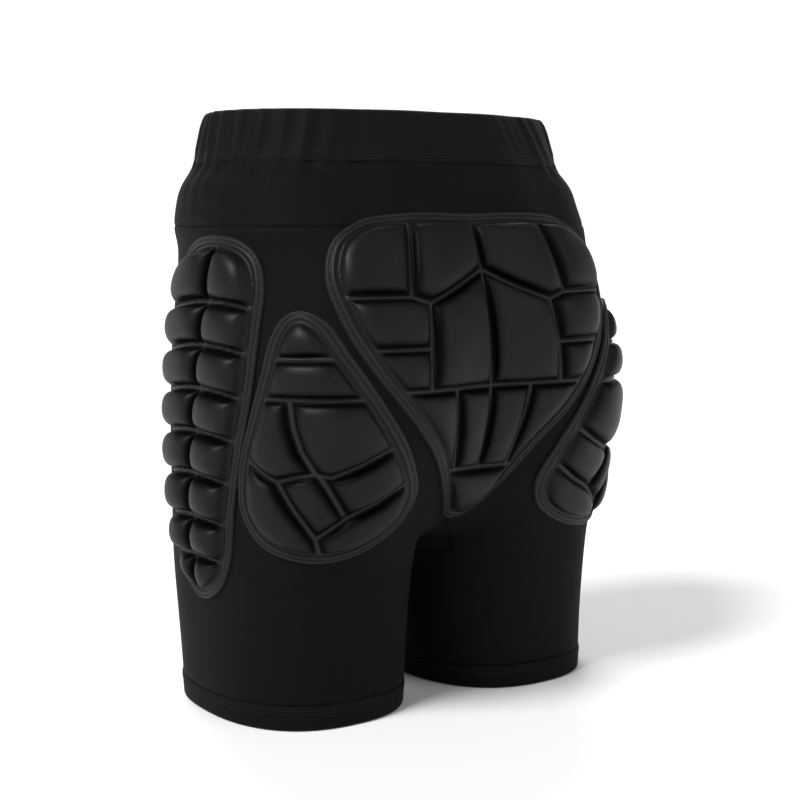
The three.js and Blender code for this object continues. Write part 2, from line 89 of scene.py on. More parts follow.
def through(knots, x):
    """A smooth curve through knots: cubic Hermite, slopes from the neighbouring knots."""
    k = np.array(knots, float)
    xs, ys = k[:, 0], k[:, 1]
    last = len(xs) - 1
    before = np.maximum(np.arange(last + 1) - 1, 0)
    after = np.minimum(np.arange(last + 1) + 1, last)
    slopes = (ys[after] - ys[before]) / (xs[after] - xs[before])
    x = np.clip(np.asarray(x, float), xs[0], xs[-1])
    i = np.clip(np.searchsorted(xs, x) - 1, 0, last - 1)
    h = xs[i + 1] - xs[i]
    t = (x - xs[i]) / h
    t2, t3 = t * t, t * t * t
    return ((2 * t3 - 3 * t2 + 1) * ys[i] + (t3 - 2 * t2 + t) * h * slopes[i]
            + (3 * t2 - 2 * t3) * ys[i + 1] + (t3 - t2) * h * slopes[i + 1])


def smooth_min(a, b, k):
    h = np.clip(0.5 + 0.5 * (b - a) / k, 0, 1)
    return b * (1 - h) + a * h - k * h * (1 - h)


def smooth_max(a, b, k):
    return -smooth_min(-a, -b, k)


def smoothstep(t):
    t = np.clip(t, 0, 1)
    return t * t * (3 - 2 * t)


def level_of(z):
    """The form's sizes at each height, worked out once for many points."""
    axis = through(LEG_AXIS, z)
    front, back = through(FRONT, z), through(BACK, z)
    return (axis, through(HALF_WIDTH, z) - axis, front, back, through(MID_FRONT, z), through(MID_BACK, z),
            np.asarray(z, float))


def form_at(x, y, level):
    """Rough distance outside the worn form: two leg tubes blended with a seat block."""
    axis, rx, front, back, mid_front, mid_back, z = level
    side = np.abs(x)
    cy = 0.25 * (front + back)
    ry = np.where(y < cy, cy - front, back - cy)
    power = SQUARE + (ROUND - SQUARE) * smoothstep((z - 330) / 90)
    across, deep = np.abs((side - axis) / rx), np.abs((y - cy) / ry)
    tube = ((across ** power + deep ** power) ** (1 / power) - 1) * 0.5 * (rx + ry)
    depth = smooth_max(y - mid_back, mid_front - y, 10)
    block = smooth_max(smooth_max(depth, CROTCH - z, 12), side - axis, 30)
    return smooth_min(tube, block, 26)


def form(p):
    return form_at(p[..., 0], p[..., 1], level_of(p[..., 2]))


def normals_of(p):
    step = 0.5
    out = np.zeros_like(p)
    for c in range(3):
        d = np.zeros(3)
        d[c] = step
        out[..., c] = form(p + d) - form(p - d)
    return out / np.linalg.norm(out, axis=-1, keepdims=True)


def outermost(ox, oy, dx, dy, z, far):
    """Where level rays from inside last leave the form."""
    ox, oy, dx, dy, z, far = (np.array(a, float) for a in np.broadcast_arrays(ox, oy, dx, dy, z, far))
    level = level_of(z)
    inside_at = np.zeros_like(far)
    steps = 44
    for k in range(steps + 1):
        t = far * k / steps
        inside_at = np.where(form_at(ox + t * dx, oy + t * dy, level) < 0, t, inside_at)
    low, high = inside_at, np.minimum(inside_at + far / steps, far)
    for _ in range(20):
        middle = 0.5 * (low + high)
        out = form_at(ox + middle * dx, oy + middle * dy, level) > 0
        low, high = np.where(out, low, middle), np.where(out, middle, high)
    return np.stack([ox + low * dx, oy + low * dy, z], -1)


def centre_chart(angle, z):
    """Angle from the front (0) by the wearer's left (90 degrees) to the back, about the centre axis."""
    return outermost(0.0, AXIS_Y, np.sin(angle), -np.cos(angle), z, 230.0)


def leg_chart(angle, z):
    """The same about the left leg's own axis; rays to the inside stop at the centre plane."""
    axis = through(LEG_AXIS, z)
    dx = np.sin(angle)
    far = np.where(dx < -1e-6, np.minimum(150.0, axis / np.maximum(-dx, 1e-6)), 150.0)
    return outermost(axis, AXIS_Y, dx, -np.cos(angle), z, far)


def front_chart(x, z):
    return outermost(x, 0.0, 0.0, -1.0, z, 160.0)


# ---------------------------------------------------------------- folds and gathers of the cloth
CREASES = [  # (angle, height) to (angle, height) in degrees and mm, half width mm, depth mm
    ((118, 404), (137, 377), 2.6, 1.5), ((124, 405), (139, 384), 2.2, 0.9),
    ((104, 404), (112, 380), 2.8, 0.9), ((131, 405), (150, 388), 2.4, 0.8),
    ((-118, 404), (-135, 380), 2.6, 1.1), ((-104, 404), (-110, 382), 2.6, 0.8),
    ((62, 403), (54, 384), 2.4, 0.7), ((-62, 403), (-54, 384), 2.4, 0.7),
    ((88, 372), (110, 362), 3.5, 0.7), ((-88, 372), (-110, 362), 3.5, 0.7),
]
RIPPLES = [(RNG.uniform(26, 74), RNG.uniform(0, 6.28), RNG.uniform(0.4, 1.0)) for _ in range(7)]
GATHERING = 2.7                 # height of the waist gathers, mm


def gather(angle, z):
    """Ripples drawn up by the waist elastic, strongest at both sides."""
    side = np.abs(np.degrees(np.arctan2(np.sin(angle), np.cos(angle))))
    strength = GATHERING * np.exp(-((side - 86) / 36) ** 2)
    wave = sum(a * np.sin(f * angle + p + 0.02 * (z - 400)) for f, p, a in RIPPLES) / 2.2
    wave = np.where(wave > 0, wave, 0.55 * wave) * (1 + 0.35 * np.sin(5 * angle + 1))
    down = np.exp(-np.clip(BAND_BOTTOM - z, 0, None) / 11)
    return strength * wave * down


def folds(p):
    """How far the cloth stands off the smooth form, mm."""
    angle = np.arctan2(p[..., 0], -(p[..., 1] - AXIS_Y))
    z = p[..., 2]
    side = np.abs(np.degrees(angle))
    out = 0.9 * gather(angle, z)
    out = out + 2.6 * np.exp(-((z - BAND_BOTTOM + 17) / 12) ** 2 - ((side - 100) / 38) ** 2)
    s = math.radians(1) * 125    # mm to a degree round the waist
    u = np.degrees(angle)
    for (a0, z0), (a1, z1), width, depth in CREASES:
        du, dz = (a1 - a0) * s, z1 - z0
        t = np.clip((((u - a0) * s) * du + (z - z0) * dz) / (du * du + dz * dz), 0, 1)
        gap = np.hypot((u - a0) * s - t * du, z - z0 - t * dz)
        fade = np.sin(math.pi * np.clip(0.15 + 0.85 * t, 0, 1))
        shoulder = 0.55 * np.exp(-((gap - 2.4 * width) / width) ** 2)
        out = out - depth * fade * (np.exp(-(gap / width) ** 2) - shoulder)
    out = out + 3.2 * np.exp(-(p[..., 0] / 34) ** 2 - ((z - 160) / 24) ** 2) * (p[..., 1] < 0)
    out = out + 0.35 * np.sin(z / 31 + 2.1 * np.sin(2.3 * angle)) * np.sin(3.1 * angle + z / 70)
    return out


# ---------------------------------------------------------------- meshes
def placed(name, data):
    """A new object in the scene."""
    item = bpy.data.objects.new(name, data)
    bpy.context.scene.collection.objects.link(item)
    return item


def aimed(item, direction):
    """Turns a lamp or a camera to face along a direction."""
    item.rotation_mode = "QUATERNION"
    item.rotation_quaternion = direction.to_track_quat("-Z", "Y")


def make_object(name, verts, faces, uv, values=None):
    """A mesh object from millimetre points. values holds one number per point for each named attribute."""
    mesh = bpy.data.meshes.new(name)
    verts = (np.asarray(verts, float).reshape(-1, 3) - (0, ORIGIN_Y, 0)) * MM
    mesh.from_pydata(verts.tolist(), [], [tuple(int(i) for i in f) for f in faces])
    layer = mesh.uv_layers.new(name="cloth")
    index = np.empty(len(mesh.loops), int)
    mesh.loops.foreach_get("vertex_index", index)
    layer.data.foreach_set("uv", np.asarray(uv, float).reshape(-1, 2)[index].ravel())
    for key, data in (values or {}).items():
        attribute = mesh.attributes.new(key, "FLOAT", "POINT")
        attribute.data.foreach_set("value", np.asarray(data, float).ravel())
    mesh.polygons.foreach_set("use_smooth", [True] * len(mesh.polygons))
    mesh.validate()
    mesh.update()
    return placed(name, mesh)


def grid_faces(nj, ni, closed=False, start=0, flip=False):
    faces = []
    for j in range(nj - 1):
        for i in range(ni if closed else ni - 1):
            i2 = (i + 1) % ni
            row, above = start + j * ni, start + (j + 1) * ni
            quad = (row + i, row + i2, above + i2, above + i)
            faces.append(quad[::-1] if flip else quad)
    return faces


def tube_faces(start, rings, sides):
    """Quads between a tube's rings of points, and a cap at each end."""
    ends = [tuple(start + ring * sides + k for k in range(sides)) for ring in (0, rings - 1)]
    return grid_faces(rings, sides, True, start) + [ends[0][::-1], ends[1]]


def shell_object(name, outer, inner, uv, values=None):
    """A closed cloth shell from two grids of points, outer and inner."""
    nj, ni = outer.shape[:2]
    n = nj * ni
    u, v = outer[0, 1] - outer[0, 0], outer[1, 0] - outer[0, 0]
    flip = float(np.dot(np.cross(u, v), outer[0, 0] - inner[0, 0])) < 0
    faces = grid_faces(nj, ni, False, 0, flip) + grid_faces(nj, ni, False, n, not flip)
    bottom, top = list(range(ni)), list(range((nj - 1) * ni, n))
    first, last = list(range(0, n, ni)), list(range(ni - 1, n, ni))
    for edge in (bottom, top[::-1], first[::-1], last):
        rim = [(a, n + a, n + b, b) for a, b in zip(edge, edge[1:])]
        faces += [f[::-1] for f in rim] if flip else rim
    both = np.concatenate([uv.reshape(-1, 2)] * 2)
    doubled = {k: np.concatenate([np.ravel(v)] * 2) for k, v in (values or {}).items()}
    points = np.concatenate([outer.reshape(-1, 3), inner.reshape(-1, 3)])
    return make_object(name, points, faces, both, doubled)


def running(line):
    """Running length along a line of points."""
    return np.concatenate([[0], np.cumsum(np.linalg.norm(np.diff(line, axis=0), axis=1))])


def sampled(line, run, at):
    """A line's points at the given running lengths."""
    return np.stack([np.interp(at, run, column) for column in np.asarray(line).T], -1)


def edge_spread(count, length, edge=(0.0, 0.5, 1.2, 2.4)):
    """Fractions 0 to 1 with extra points close to both ends, for a rolled edge."""
    near = np.array(edge) / max(length, 1e-6)
    middle = np.linspace(near[-1], 1 - near[-1], count)
    return np.concatenate([near[:-1], middle, 1 - near[:-1][::-1]])


def arc_lengths(grid):
    """Running length along each direction of a grid of points, as weave coordinates."""
    along = np.concatenate([np.zeros((grid.shape[0], 1)),
                            np.cumsum(np.linalg.norm(np.diff(grid, axis=1), axis=-1), axis=1)], 1)
    up = np.concatenate([np.zeros((1, grid.shape[1])),
                         np.cumsum(np.linalg.norm(np.diff(grid, axis=0), axis=-1), axis=0)], 0)
    return along, up


CUTS = {}                       # what each declared cloth was declared with


def declare_cloth(piece, width, length, held="stretched", shaped=True):
    """Records in CUTS that a piece is a sheet of cloth, by its width and length in metres, how it is held
    and whether it is shaped. A shaped piece is not a rectangle."""
    CUTS[piece.name] = (width, length, held, shaped)


def girth(rows):
    """The longest way round a stack of closed rings of points, in metres."""
    return max(np.linalg.norm(np.roll(row, -1, 0) - row, axis=1).sum() for row in rows) * MM


def cloth_panel(name, points, rolled, folded=True):
    """A shell of cloth over surface points (rows, columns). rolled says which edges dip into a seam:
    first column, last column, first row, last row."""
    along, up = arc_lengths(points)
    width, height = along[:, -1:], up[-1:, :]
    roll = np.zeros(points.shape[:2])
    for on, gap in zip(rolled, (along, width - along, up, height - up)):
        if on:
            roll = np.maximum(roll, on * np.exp(-(gap / 1.1) ** 2))
    normal = normals_of(points)
    lift = -0.8 * roll
    if folded:
        lift = lift + folds(points)
    outer = points + normal * lift[..., None]
    uv = np.stack([along - 0.5 * width, up], -1) * MM
    piece = shell_object(name, outer, outer - normal * FABRIC, uv, {"seam": roll})
    declare_cloth(piece, width.max() * MM, height.max() * MM)
    return piece


def mirrored(piece, name):
    """The same piece for the wearer's right."""
    mesh = piece.data.copy()
    mesh.name = name
    co = np.empty(len(mesh.vertices) * 3)
    mesh.vertices.foreach_get("co", co)
    co = co.reshape(-1, 3)
    co[:, 0] *= -1
    mesh.vertices.foreach_set("co", co.ravel())
    mesh.flip_normals()
    mesh.update()
    copy = placed(name, mesh)
    if piece.name in CUTS:
        declare_cloth(copy, *CUTS[piece.name])
    return copy


# ---------------------------------------------------------------- materials
def node(tree, kind, inputs=None, **settings):
    made = tree.nodes.new(kind)
    for key, value in settings.items():
        setattr(made, key, value)
    for key, value in (inputs or {}).items():
        made.inputs[key].default_value = value
    return made


def math_node(tree, operation, a, b, clamp=False):
    made = node(tree, "ShaderNodeMath", operation=operation, use_clamp=clamp)
    for slot, value in enumerate((a, b)):
        if isinstance(value, (int, float)):
            made.inputs[slot].default_value = value
        else:
            tree.links.new(value, made.inputs[slot])
    return made.outputs[0]


def mixed(tree, factor, *ends):
    """A mix of two colours, each given as a value or as another node's output."""
    made = node(tree, "ShaderNodeMix", data_type="RGBA")
    tree.links.new(factor, made.inputs["Factor"])
    for socket, end in zip("AB", ends):
        if isinstance(end, tuple):
            made.inputs[socket].default_value = (*end, 1)
        else:
            tree.links.new(end, made.inputs[socket])
    return made.outputs["Result"]


ROUGH_SPREAD = 0.08             # how much the mottling changes the roughness


def cloth_material(name, dark, light, roughness, sheen, weave_mm, weave_bump, accent=None,
                   accent_colour=None, twill=False, shine=0.12, groove_shade=0.0):
    """Knitted cloth: a fine weave in the piece's own cloth coordinates, soft mottling, and a paler or
    darker accent where the named attribute is high. The last argument says how far shine and colour are
    painted down beside the sewn grooves: painted shade, deepening a shading the geometry gives only in part."""
    material = bpy.data.materials.new(name)
    material.use_nodes = True
    tree = material.node_tree
    tree.nodes.clear()
    link = tree.links.new
    out = node(tree, "ShaderNodeOutputMaterial")
    shader = node(tree, "ShaderNodeBsdfPrincipled", {"Sheen Weight": sheen, "Sheen Roughness": 0.45,
                                                     "Specular IOR Level": shine})
    link(shader.outputs[0], out.inputs[0])
    uv = node(tree, "ShaderNodeUVMap", uv_map="cloth")
    place = node(tree, "ShaderNodeTexCoord")
    mottling = node(tree, "ShaderNodeTexNoise", {"Scale": 26, "Detail": 5, "Roughness": 0.62})
    fibre = node(tree, "ShaderNodeTexNoise", {"Scale": 900, "Detail": 2})
    for noise in (mottling, fibre):
        link(place.outputs["Object"], noise.inputs["Vector"])
    # two wave textures cross to make the knit's columns and rows
    waves = []
    for direction, stretch in (("DIAGONAL" if twill else "X", 1.0), ("Y", 0.8)):
        wave = node(tree, "ShaderNodeTexWave", {"Scale": stretch / (weave_mm * MM) / 20 * 6.283 / 2,
                                                "Distortion": 0.6, "Detail": 1}, bands_direction=direction)
        link(uv.outputs[0], wave.inputs["Vector"])
        waves.append(wave.outputs["Fac"])
    knit = math_node(tree, "MULTIPLY", *waves)
    height = math_node(tree, "ADD", knit, math_node(tree, "MULTIPLY", fibre.outputs["Fac"], 0.5))
    tone = math_node(tree, "ADD", math_node(tree, "MULTIPLY", mottling.outputs["Fac"], 0.75),
                     math_node(tree, "MULTIPLY", height, 0.18), clamp=True)
    colour = mixed(tree, tone, dark, light)
    if accent:
        mask = node(tree, "ShaderNodeAttribute", attribute_name=accent)
        cover = math_node(tree, "MULTIPLY", mask.outputs["Fac"], 0.85, clamp=True)
        colour = mixed(tree, cover, colour, accent_colour)
    # painted shade in the grooves: colour mixed toward near black and shine cut where the groove mask is high
    if groove_shade:
        deep = node(tree, "ShaderNodeAttribute", attribute_name="groove_shade")
        kept = math_node(tree, "SUBTRACT", 1.0, math_node(tree, "MULTIPLY", deep.outputs["Fac"], groove_shade))
        link(math_node(tree, "MULTIPLY", kept, shine), shader.inputs["Specular IOR Level"])
        colour = mixed(tree, kept, (0.0006, 0.0006, 0.0006), colour)
    link(colour, shader.inputs["Base Color"])
    rough = math_node(tree, "ADD", roughness - 0.5 * ROUGH_SPREAD,
                      math_node(tree, "MULTIPLY", mottling.outputs["Fac"], ROUGH_SPREAD), clamp=True)
    link(rough, shader.inputs["Roughness"])
    bump = node(tree, "ShaderNodeBump", {"Strength": weave_bump, "Distance": 0.12 * MM})
    link(height, bump.inputs["Height"])
    link(bump.outputs[0], shader.inputs["Normal"])
    return material


STRETCH = cloth_material("stretch_fabric", (0.0020, 0.0020, 0.0023), (0.0046, 0.0046, 0.0050), 0.72, 0.012,
                         0.9, 0.5, accent="seam", accent_colour=(0.0012, 0.0012, 0.0015), shine=0.06)
BAND = cloth_material("waistband_fabric", (0.0021, 0.0021, 0.0029), (0.0050, 0.0050, 0.0065), 0.68, 0.015,
                      1.1, 0.55, accent="seam", accent_colour=(0.0012, 0.0012, 0.0016), shine=0.07)
# pad cover: the valley accent is the ribs' paler colour, partly their own tone and partly a painted highlight
# on their raised tops; the groove darkening is painted shade
PAD = cloth_material("pad_cover", (0.0020, 0.0020, 0.0021), (0.0038, 0.0038, 0.0039), 0.46, 0.008, 0.8, 0.35,
                     accent="valley", accent_colour=(0.014, 0.014, 0.0145), shine=0.165, groove_shade=0.85)
BINDING = cloth_material("edge_binding", (0.005, 0.005, 0.0052), (0.010, 0.010, 0.0104), 0.5, 0.02, 0.8, 0.5,
                         twill=True, shine=0.18)
NET = cloth_material("mesh_fabric", (0.050, 0.050, 0.053), (0.088, 0.088, 0.093), 0.6, 0.05, 0.4, 0.4,
                     shine=0.15)
LINING = cloth_material("mesh_lining", (0.018, 0.018, 0.019), (0.030, 0.030, 0.032), 0.8, 0.02, 0.6, 0.4,
                        shine=0.08)
HOOK = cloth_material("hook_loop", (0.004, 0.004, 0.0046), (0.009, 0.009, 0.010), 0.85, 0.08, 0.7, 0.8)
THREAD = cloth_material("thread", (0.007, 0.007, 0.008), (0.014, 0.014, 0.016), 0.55, 0.03, 0.3, 0.6,
                        twill=True)


def finish_piece(piece, material, body="shorts", stands_for=()):
    piece.data.materials.clear()
    piece.data.materials.append(material)
    if stands_for:
        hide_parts(*stands_for)
    if body:
        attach(piece, body)


def finish_pair(left, material, nodes=()):
    """Finishes a left piece and its mirror image. nodes are the CAD nodes that the left one stands for."""
    right = mirrored(left, left.name.replace("left", "right"))
    finish_piece(left, material, stands_for=nodes)
    finish_piece(right, material, stands_for=[each.replace("left", "right") for each in nodes])
    return left, right


# ---------------------------------------------------------------- stitches
def stitch_line(points, normals, pitch=3.2, length=2.3, radius=0.27, lift=0.2):
    """A run of thread dashes along a path of surface points."""
    run = running(points)
    count = max(1, int(run[-1] / pitch))
    at = (np.arange(count) + 0.5) * run[-1] / count
    ahead = sampled(points, run, np.minimum(at + 1, run[-1]))
    behind = sampled(points, run, np.maximum(at - 1, 0))
    return sampled(points, run, at), ahead - behind, sampled(normals, run, at), length, radius, lift


def stitches_object(name, runs):
    """One mesh of all the dashes in some runs: each a short tube that dips into the cloth at its ends."""
    verts, faces, uvs = [], [], []
    sides = 5
    profile = [(-0.5, 0.25, -0.3), (-0.28, 0.9, 0.0), (0.28, 0.9, 0.0), (0.5, 0.25, -0.3)]
    for centre, along, normal, length, radius, lift in runs:
        along = along / np.maximum(np.linalg.norm(along, axis=1, keepdims=True), 1e-9)
        side = np.cross(normal, along)
        for c, a, n, s in zip(centre, along, normal, side):
            faces += tube_faces(len(verts), len(profile), sides)
            for t, r, drop in profile:
                for k in range(sides):
                    turn = 2 * math.pi * k / sides
                    out = (n * math.sin(turn) * 0.8 + s * math.cos(turn)) * radius * r
                    verts.append(c + a * t * length + out + n * (lift + drop * radius))
                    uvs.append((t * length * MM, k * 0.2 * MM))
    return make_object(name, np.array(verts), faces, np.array(uvs))


# ---------------------------------------------------------------- garment panels
NET_FRONT, NET_BACK = 316, 281   # the inner thigh net's edges, degrees about the leg's axis
SEAT_SIDE = 229                  # where the side panels end below the seat, degrees about the leg's axis
HEM_WEAVE, BAND_WEAVE = 480, 760  # length of weave drawn round a hem and round the band, mm


def leg_angle(p):
    return np.arctan2(p[..., 0] - through(LEG_AXIS, p[..., 2]), AXIS_Y - p[..., 1])


def spread_rows(chart, start, end, z, t):
    """Surface points row by row, each row from its start to its end across the chart."""
    return chart(start[:, None] + (end - start)[:, None] * t[None, :], np.repeat(z[:, None], len(t), 1))


def add_side_panels():
    """Each side is one cloth from the yoke to the hem, round from the front mesh to the centre back."""
    z = np.concatenate([np.linspace(HEM_TOP + 0.4, 96, 27), np.linspace(98, 142, 30),
                        np.linspace(145, YOKE_SEAM - 0.1, 72)])
    border_z = np.maximum(z, 114)
    border = leg_angle(front_chart(through(MESH_OUTER, border_z), border_z))
    start = border + (math.radians(NET_FRONT - 360) - border) * smoothstep((120 - z) / 12)
    back_mid = leg_angle(centre_chart(np.full_like(z, math.pi), z)) % (2 * math.pi)
    foot = math.radians(NET_BACK) + math.radians(SEAT_SIDE - NET_BACK) * smoothstep((z - 96) / 14)
    end = np.where(z > 126, np.minimum(back_mid, math.radians(SEAT_SIDE)), foot) - 0.002
    left = cloth_panel("left_side_panel", spread_rows(leg_chart, start, end, z, edge_spread(150, 330)),
                       (1, 1, 0, 1))
    finish_pair(left, STRETCH, ("left_hip_panel", "left_thigh_sleeve"))


def add_yoke():
    z = YOKE_SEAM - 1.6 + (BAND_BOTTOM - YOKE_SEAM + 3.0) * edge_spread(20, 48)
    edge = front_chart(through(MESH_OUTER, z), z)
    start = np.arctan2(edge[:, 0], AXIS_Y - edge[:, 1])
    points = spread_rows(centre_chart, start, 2 * math.pi - start, z, edge_spread(330, 690))
    piece = cloth_panel("waist_yoke_cloth", points, (1, 1, 1.9, 0))
    finish_piece(piece, STRETCH, stands_for=("waist_yoke",))


def add_front_panels():
    """The front reads as one cloth between the two nets, from the crotch to the waistband."""
    z = np.concatenate([np.linspace(110, 128, 12), np.linspace(130, BAND_BOTTOM + 0.6, 92)])
    inner = through(MESH_INNER, z) - 0.25
    piece = cloth_panel("front_cloth", spread_rows(front_chart, -inner, inner, z, edge_spread(60, 120)),
                        (1, 1, 0, 0))
    finish_piece(piece, STRETCH,
                 stands_for=("front_pouch", "fly_underlap", "front_left_panel"))


def add_gusset():
    """The saddle between the legs, tucked a little under its neighbours."""
    y = np.linspace(-64, 82, 54)
    tilt = np.radians(np.linspace(-64, 64, 41))
    yy, tt = np.meshgrid(y, tilt, indexing="ij")
    start = 84.0                # height that the rays fan up from
    tuck = 0.9                  # how far the gusset lies inside the form
    dx, dz = np.sin(tt), np.cos(tt)
    low = np.zeros_like(yy)
    found = np.zeros_like(yy, bool)
    for t in np.arange(0, 70, 1.0):
        p = np.stack([t * dx, yy, start + t * dz], -1)
        inside = form(p) < -tuck
        low = np.where(~found & ~inside, t, low)
        found |= inside
    high = low + 1.0
    for _ in range(16):
        middle = 0.5 * (low + high)
        out = form(np.stack([middle * dx, yy, start + middle * dz], -1)) > -tuck
        low, high = np.where(out, middle, low), np.where(out, high, middle)
    points = np.stack([low * dx, yy, start + low * dz], -1)
    piece = cloth_panel("crotch_gusset_cloth", points, (0, 0, 0, 0), folded=False)
    finish_piece(piece, STRETCH, stands_for=("crotch_gusset",))


def add_hems():
    """A folded hem: a closed ring with a rounded lower edge."""
    profile = [(-2.3, HEM_TOP), (-2.4, 9), (-2.3, 1.2), (-1.6, 0.15), (-0.6, 0.0), (0.25, 0.5), (0.5, 1.6),
               (0.55, 9), (0.5, 15), (0.2, HEM_TOP - 0.6), (-0.5, HEM_TOP)]
    around = 220
    angle = np.linspace(0, 2 * math.pi, around, endpoint=False)
    rows = []
    for level, z in profile:
        base = leg_chart(angle, np.full_like(angle, z))
        rows.append(base + normals_of(base) * level * np.array([1, 1, 0]))
    grid = np.array(rows)
    along = np.linspace(0, HEM_WEAVE, around)[None, :] + 0 * grid[..., 0]
    faces = grid_faces(len(profile), around, True)
    top = (len(profile) - 1) * around
    faces += [(top + i, top + (i + 1) % around, (i + 1) % around, i) for i in range(around)]
    left = make_object("left_hem_cloth", grid.reshape(-1, 3), faces, np.stack([along, grid[..., 2]], -1) * MM,
                       {"seam": np.zeros(grid.shape[:2])})
    orient(left)
    declare_cloth(left, girth(grid), HEM_TOP * MM, shaped=False)
    finish_pair(left, STRETCH, ("left_hem_band",))


def orient(piece):
    """Turns all faces outwards if the closed mesh's volume is negative."""
    mesh = piece.data
    mesh.calc_loop_triangles()
    co = np.empty(len(mesh.vertices) * 3)
    mesh.vertices.foreach_get("co", co)
    co = co.reshape(-1, 3)
    tri = np.empty(len(mesh.loop_triangles) * 3, int)
    mesh.loop_triangles.foreach_get("vertices", tri)
    a, b, c = (co[tri.reshape(-1, 3)[:, k]] for k in range(3))
    if float(np.sum(a * np.cross(b, c))) < 0:
        mesh.flip_normals()


def band_angle(x):
    """Angle about the centre axis of a point on the front, at the band's lower edge."""
    edge = front_chart(np.array([x]), np.array([BAND_BOTTOM]))[0]
    return math.atan2(edge[0], AXIS_Y - edge[1])


def band_puff(angle, z):
    """How far the gathered band stands out at one height."""
    rise = smoothstep((z - BAND_BOTTOM) / 10) * (1 - 0.6 * smoothstep((z - 432) / 8))
    return (0.35 + 0.65 * rise) * gather(angle, np.full_like(angle, z))


def add_waistband():
    """The casing with its elastic inside: a puffed, gathered band, open under the tab."""
    profile = [(-1.2, BAND_BOTTOM - 1.0), (0.5, BAND_BOTTOM - 1.2), (0.9, BAND_BOTTOM + 0.4), (1.1, 408),
               (1.25, 414), (1.3, 422), (1.2, 430), (0.9, 435.5), (0.3, 438.6), (-0.8, 440.0), (-2.2, 439.9),
               (-3.3, 438.4), (-3.8, 434), (-3.9, 422), (-3.8, 410), (-3.5, BAND_BOTTOM - 0.8),
               (-2.4, BAND_BOTTOM - 1.2)]
    start = band_angle(6.0)
    n, k = 620, len(profile)
    angle = np.linspace(start, start + 2 * math.pi - 0.012, n)
    rows = []
    for level, z in profile:
        base = centre_chart(angle, np.full_like(angle, min(z, WAIST_TOP)))
        flat = normals_of(base) * np.array([1, 1, 0])
        flat /= np.linalg.norm(flat, axis=1, keepdims=True)
        share = 1.0 if level > -1.5 else 0.7    # the band's inside is gathered less
        p = base + flat * (level + share * band_puff(angle, z))[:, None]
        p[:, 2] = z
        rows.append(p)
    grid = np.array(rows)
    along = np.linspace(0, BAND_WEAVE, n)[None, :] + 0 * grid[..., 0]
    faces = []
    for j in range(k):
        j2 = (j + 1) % k
        faces += [(j * n + i, j * n + i + 1, j2 * n + i + 1, j2 * n + i) for i in range(n - 1)]
    faces.append(tuple(j * n for j in range(k)))
    faces.append(tuple(j * n + n - 1 for j in range(k))[::-1])
    seam = np.zeros(grid.shape[:2])
    seam[[0, -1]] = 1
    uv = np.stack([along, arc_lengths(grid)[1]], -1) * MM
    piece = make_object("waistband_cloth", grid.reshape(-1, 3), faces, uv, {"seam": seam})
    orient(piece)
    declare_cloth(piece, girth(grid), (WAIST_TOP - BAND_BOTTOM) * MM, "gathered", shaped=False)
    finish_piece(piece, BAND, stands_for=("waistband_casing", "waist_elastic"))


# ---------------------------------------------------------------- front closure
LAP_EDGE = (0.0, 0.4, 1.0, 2.2)  # where the extra points lie at a lap's edges, mm
PILE_RISE, PILE_RADIUS = 0.7, 0.1   # size of one hook's arch and radius of its thread, mm


def lapped_piece(name, z, x_free, x_held, high, low, sink, columns, material, stands_for, foot=0.0):
    """A lapped layer of cloth. It stands off by `high` and comes down to `low` at its sewn edge, and along
    its lower end too where `foot` says how far up that reaches."""
    points = spread_rows(front_chart, x_free, x_held, z, edge_spread(columns, 76, LAP_EDGE))
    x = points[..., 0]
    along, up = arc_lengths(points)
    roll = np.exp(-np.minimum(along, np.minimum(up, up[-1:, :] - up)) ** 2)
    normal = normals_of(points)
    settle = smoothstep((x - (x_held[:, None] - sink)) / sink)
    if foot:
        low_end = 1 - smoothstep((z[:, None] - z[0]) / foot)
        settle = 1 - (1 - settle) * (1 - 0.9 * low_end * smoothstep((x - x_free[:, None] - 6) / 16))
    lift = high + (low - high) * settle - 0.35 * roll + 0.4 * folds(points)
    outer = points + normal * lift[..., None]
    piece = shell_object(name, outer, outer - normal * LAP_FABRIC, np.stack([along, up], -1) * MM,
                         {"seam": 0.6 * roll})
    declare_cloth(piece, along.max() * MM, up.max() * MM, "laid", shaped=False)
    finish_piece(piece, material, body=None, stands_for=stands_for)
    return piece, outer, normal


def add_flap():
    z = FLY_BOTTOM + (FLY_TOP - FLY_BOTTOM) * edge_spread(46, 103, LAP_EDGE)
    free = -47 - 9 * np.sin(math.pi * np.clip((z - 300) / 110, 0, 1))
    return lapped_piece("fly_flap_cloth", z, free, np.full_like(z, 20.0), 2.4, 0.1, 40, 60, STRETCH,
                        ("fly_flap",), foot=22)


def add_tab():
    z = TAB_BOTTOM - 1.0 + (WAIST_TOP - 0.3 - TAB_BOTTOM + 1.0) * edge_spread(30, 57, LAP_EDGE)
    return lapped_piece("waist_tab_cloth", z, np.full_like(z, -52.0), np.full_like(z, 29.0), 5.0, 1.6, 26, 64,
                        BAND, ("waist_tab",))


